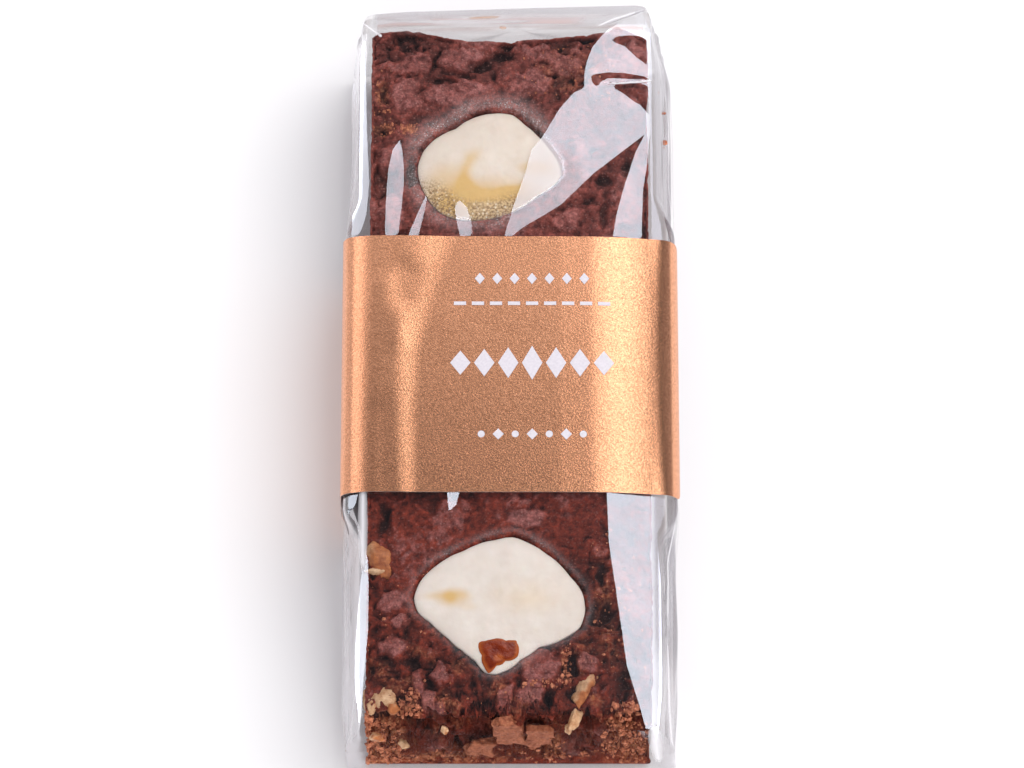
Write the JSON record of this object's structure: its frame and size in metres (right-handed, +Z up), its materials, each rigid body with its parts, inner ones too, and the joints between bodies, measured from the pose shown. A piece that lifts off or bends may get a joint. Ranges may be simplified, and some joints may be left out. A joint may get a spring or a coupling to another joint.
{
  "type": "bar of rocky road fudge in a clear film bag",
  "caption": "Flat bar of chocolate fudge with marshmallows and nuts, sealed in a clear gusseted film bag with a copper label wrapped round its middle.",
  "frame": {"origin": "under the middle of the pack, on the surface it lies on", "axes": "+Z up from the lying pack's base through its labelled top, +Y along the bar towards the end at the top of the picture, +X to the right seen with +Y away from the viewer"},
  "size_m": [0.0583, 0.1335, 0.0267],
  "materials": {
    "clear_film": "clear crisp film, glossy",
    "copper_label": "fine-grained copper foil paper, satin",
    "print": "matt white print",
    "fudge": "rough milk-chocolate fudge, dull with a faint bloom",
    "marshmallow": "soft matt cream with yellow patches",
    "nut": "matt cream and golden brown",
    "caramel": "glossy translucent orange-brown"
  },
  "bodies": {
    "root": {"bag": "clear_film", "label": "copper_label"}
  },
  "joints": []
}
